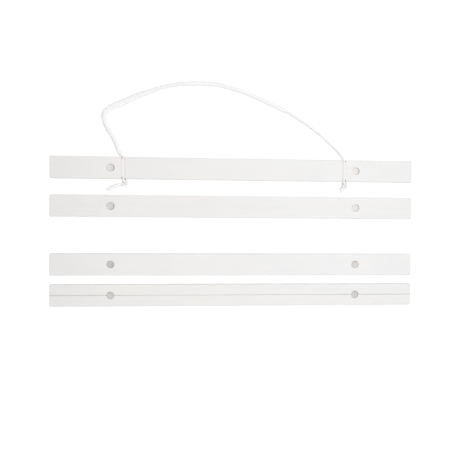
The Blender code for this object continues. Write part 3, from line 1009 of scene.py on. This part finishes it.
def painted_wood(label):
    """White paint, brushed over straight grain, with bare wood in the holes and grooves."""
    grain_share = GRAIN_SHARES[label]
    material, tree, shader = new_material(label + "_painted_wood")
    places = row_places(tree)
    x, y, z = split(tree, places)
    grain = noise_at(tree, places, *GRAIN_NOISE)
    bands = noise_at(tree, places, *BAND_NOISE)
    clouds = noise_at(tree, places, *PAINT_CLOUD_NOISE)
    paint = paint_edge_light_and_shade(tree, label, paint_with_shaded_ends(tree, x), x, y, z)
    dark = ramp(tree, grain, *GRAIN_RANGE, 0.0, GRAIN_MOST * grain_share)
    colour = blend_colour(tree, dark, paint, PAINT_IN_GRAIN)
    warm = ramp(tree, bands, *BAND_RANGE, 0.0, BAND_MOST * grain_share)
    colour = blend_colour(tree, warm, colour, PAINT_WARM)
    cool = ramp(tree, clouds, *PAINT_CLOUD_RANGE, 0.0, PAINT_CLOUD_MOST)
    colour = blend_colour(tree, cool, colour, PAINT_DULL)
    if label in SCORE_DEPTHS:
        # painted highlight in the top front rail's score, painted shade in the bottom front rail's
        score_light_and_shade = score_light_and_shade_mask(tree, label, x, y, z)
        colour = blend_colour(tree, score_light_and_shade, colour, SCORE_PAINTED_LIGHT_AND_SHADE[label])
    wood_grain = noise_at(tree, places, *BARE_GRAIN_NOISE)
    # bare wood, dark partly as painted shade, in the holes and grooves
    bare = blend_colour(tree, wood_grain, BARE_WOOD_AND_PAINTED_SHADE, BARE_WOOD_GRAIN)
    colour = blend_colour(tree, cut_mask(tree, label, x, y, z), colour, bare)
    tree.links.new(colour, shader.inputs["Base Color"])
    rough = ramp(tree, clouds, *ROUGHNESS_RANGE, *PAINT_ROUGHNESS)
    tree.links.new(rough, shader.inputs["Roughness"])
    orange_peel = noise_at(tree, places, *ORANGE_PEEL_NOISE)
    through_paint = ((grain, GRAIN_BUMP), (bands, BAND_BUMP))
    layers = [(noise, deep, strong * grain_share) for noise, (deep, strong) in through_paint]
    layers.append((orange_peel, *ORANGE_PEEL_BUMP))
    add_bump(tree, shader, layers)
    return material


def nickel(name, middle):
    """Nickel on a pressed disc: dull, scratched, with painted shade and a painted shadow at its rim."""
    tone, heading, painted_shade_darkness = DISC_TONES_AND_PAINTED_SHADE[name]
    plating = toned(NICKEL_COLOUR, tone)
    material, tree, shader = new_material(name + "_nickel")
    shader.inputs["Metallic"].default_value = 1.0
    places = row_places(tree)
    pits = noise_at(tree, places, *PIT_NOISE)
    scratches = noise_at(tree, places, *SCRATCH_NOISE)
    stained = ramp(tree, pits, *PIT_RANGE, 0.0, PIT_MOST)
    colour = blend_colour(tree, stained, plating, toned(plating, DULL_SHARE))
    clouds = noise_at(tree, places, *TARNISH_NOISE)
    tarnished = ramp(tree, clouds, *TARNISH_RANGE, 0.0, TARNISH_MOST)
    colour = blend_colour(tree, tarnished, colour, toned(plating, DULL_SHARE))
    x, y = split(tree, places)[:2]
    turn = math.radians(heading)
    across = calculate(tree, "DIVIDE", calculate(tree, "SUBTRACT", x, middle.x), DISC_RADIUS)
    up = calculate(tree, "DIVIDE", calculate(tree, "SUBTRACT", y, middle.y), DISC_RADIUS)
    lean_across = calculate(tree, "MULTIPLY", across, math.cos(turn))
    lean_up = calculate(tree, "MULTIPLY", up, math.sin(turn))
    lean = calculate(tree, "ADD", lean_across, lean_up)
    # painted shade: the disc darkens towards one side, as if the light fell from the other
    painted_shade_side = ramp(tree, lean, -1.0, 1.0, 0.0, PAINTED_SHADE_SIDE_MOST * painted_shade_darkness)
    colour = blend_colour(tree, painted_shade_side, colour, toned(plating, PAINTED_SHADE_SIDE_SHARE))
    # painted shadow: a dark crescent at the rim, where the hole's wall would cast its shadow
    from_x = calculate(tree, "ADD", across, PAINTED_SHADOW_CRESCENT_SHIFT * math.cos(turn))
    from_y = calculate(tree, "ADD", up, PAINTED_SHADOW_CRESCENT_SHIFT * math.sin(turn))
    painted_shadow_crescent = ramp(tree, length_of(tree, from_x, from_y), *PAINTED_SHADOW_CRESCENT_RANGE, 0.0, painted_shade_darkness)
    colour = blend_colour(tree, painted_shadow_crescent, colour, toned(plating, PAINTED_SHADOW_CRESCENT_SHARE))
    tree.links.new(colour, shader.inputs["Base Color"])
    rough = ramp(tree, scratches, *ROUGHNESS_RANGE, *NICKEL_ROUGHNESS)
    tree.links.new(rough, shader.inputs["Roughness"])
    add_bump(tree, shader, [(pits, *PIT_BUMP), (scratches, *SCRATCH_BUMP)])
    return material


def cotton():
    """White cotton yarn, with painted shade between its strands and in the grooves, and fuzzy with
    fibres.
    """
    material, tree, shader = new_material("braided_cotton")
    relief = tree.nodes.new("ShaderNodeAttribute")
    relief.attribute_name = "relief"
    places = row_places(tree)
    fibres = noise_at(tree, places, *FIBRE_NOISE)
    # painted shade in the valleys of the braid
    painted_valley_shade = ramp(tree, relief.outputs["Fac"], *VALLEY_RANGE, VALLEY_MOST, 0.0)
    colour = blend_colour(tree, painted_valley_shade, COTTON_COLOUR, COTTON_SHADE)
    fuzz = ramp(tree, fibres, *FIBRE_RANGE, 0.0, FIBRE_MOST)
    colour = blend_colour(tree, fuzz, colour, COTTON_FUZZ)
    y = split(tree, places)["Y"]
    # painted shade on the cord where it lies in its grooves
    above = ramp(tree, y, LOWER_EDGE_Y, LOWER_EDGE_Y + MOUTH_LENGTH)
    below = ramp(tree, y, UPPER_EDGE_Y - MOUTH_LENGTH, UPPER_EDGE_Y, 1.0, 0.0)
    painted_shade_in_groove = calculate(tree, "MULTIPLY", above, below)
    colour = blend_colour(tree, painted_shade_in_groove, colour, COTTON_PAINTED_SHADE_IN_GROOVE)
    tree.links.new(colour, shader.inputs["Base Color"])
    shader.inputs["Roughness"].default_value = COTTON_ROUGHNESS
    shader.inputs["Sheen Weight"].default_value = COTTON_SHEEN
    shader.inputs["Sheen Roughness"].default_value = COTTON_SHEEN_ROUGHNESS
    add_bump(tree, shader, [(fibres, *FIBRE_BUMP)])
    return material


def disc_outline(top, bottom):
    """A disc's outline as (radius, height), from the middle of its face to the middle of its back."""
    flat = DISC_RADIUS - DISC_ROUNDING
    outline = [(flat * out, top - DISC_DISH * deep) for out, deep in DISC_DISH_OUTLINE]
    quarter = []
    for k in range(DISC_ROUNDING_STEPS + 1):
        turn = math.pi / 2 * k / DISC_ROUNDING_STEPS
        radius = flat + DISC_ROUNDING * math.sin(turn)
        quarter.append((radius, DISC_ROUNDING * (1.0 - math.cos(turn))))
    outline += [(radius, top - drop) for radius, drop in quarter]
    outline += [(radius, bottom + drop) for radius, drop in reversed(quarter)]
    outline.append((0.0, bottom))
    return outline


def disc_faces(rings):
    """A disc's faces, sector by sector: from the middle of its face over the rings to its back's."""
    faces = []
    last_ring = 1 + (rings - 1) * DISC_SEGMENTS
    back_middle = last_ring + DISC_SEGMENTS
    for k in range(DISC_SEGMENTS):
        nxt = (k + 1) % DISC_SEGMENTS
        faces.append((0, 1 + k, 1 + nxt))
        for ring in range(rings - 1):
            start = 1 + ring * DISC_SEGMENTS
            below = start + DISC_SEGMENTS
            faces.append((start + k, below + k, below + nxt, start + nxt))
        faces.append((last_ring + k, back_middle, last_ring + nxt))
    return faces


def make_disc(node, body):
    """One pressed disc magnet with rounded rims and a barely dished face, in its CAD node's place."""
    low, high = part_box(node)
    middle = (low + high) / 2
    finish = nickel(node, middle)
    outline = disc_outline(high.z, low.z)
    corners = [Vector((middle.x, middle.y, outline[0][1]))]
    for radius, height in outline[1:-1]:
        for k in range(DISC_SEGMENTS):
            turn = math.tau * k / DISC_SEGMENTS
            x = middle.x + radius * math.cos(turn)
            y = middle.y + radius * math.sin(turn)
            corners.append(Vector((x, y, height)))
    corners.append(Vector((middle.x, middle.y, outline[-1][1])))
    mesh = bpy.data.meshes.new(node + "_disc")
    mesh.from_pydata(corners, [], disc_faces(len(outline) - 2))
    mesh.shade_smooth()
    mesh.materials.append(finish)
    disc = put_in_scene(node + "_disc", mesh)
    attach(disc, body)
    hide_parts(node)


def smooth_shading():
    """A modifier's group that welds a faceted solid and shades it smooth but for its real edges."""
    group = bpy.data.node_groups.new("smooth_shading", "GeometryNodeTree")
    for in_out in ("INPUT", "OUTPUT"):
        group.interface.new_socket("Geometry", in_out=in_out, socket_type="NodeSocketGeometry")
    start = group.nodes.new("NodeGroupInput")
    weld = group.nodes.new("GeometryNodeMergeByDistance")
    weld.inputs["Distance"].default_value = WELD_DISTANCE
    angle = group.nodes.new("GeometryNodeInputMeshEdgeAngle")
    sharp = group.nodes.new("FunctionNodeCompare")
    sharp.data_type = "FLOAT"
    sharp.operation = "GREATER_THAN"
    sharp.inputs["B"].default_value = EDGE_ANGLE
    normals = group.nodes.new("GeometryNodeSetMeshNormal")
    normals.mode = "SHARPNESS"
    end = group.nodes.new("NodeGroupOutput")
    group.links.new(start.outputs[0], weld.inputs["Geometry"])
    group.links.new(weld.outputs[0], normals.inputs["Mesh"])
    group.links.new(angle.outputs["Unsigned Angle"], sharp.inputs["A"])
    group.links.new(sharp.outputs[0], normals.inputs["Edge Sharpness"])
    group.links.new(normals.outputs[0], end.inputs[0])
    return group


def dress_rails():
    """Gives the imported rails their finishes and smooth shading."""
    group = smooth_shading()
    for label in GRAIN_SHARES:
        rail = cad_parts[label + "_rail"]
        rail.material_slots[0].material = painted_wood(label)
        shade = rail.modifiers.new("smooth_shading", "NODES")
        shade.node_group = group
        flat = rail.modifiers.new("flat_faces", "WEIGHTED_NORMAL")
        flat.keep_sharp = True


def make_discs():
    for node in DISC_TONES_AND_PAINTED_SHADE:
        make_disc(node, node.split("_magnet")[0])


bpy.context.scene.view_settings.view_transform = "Standard"
make_camera()
make_cords(cotton())
dress_rails()
make_discs()
make_floor()
make_world()
add_lamp("key", KEY_PLACE, KEY_SIZE, KEY_WATTS)
add_lamp("top", TOP_PLACE, TOP_SIZE, TOP_WATTS)
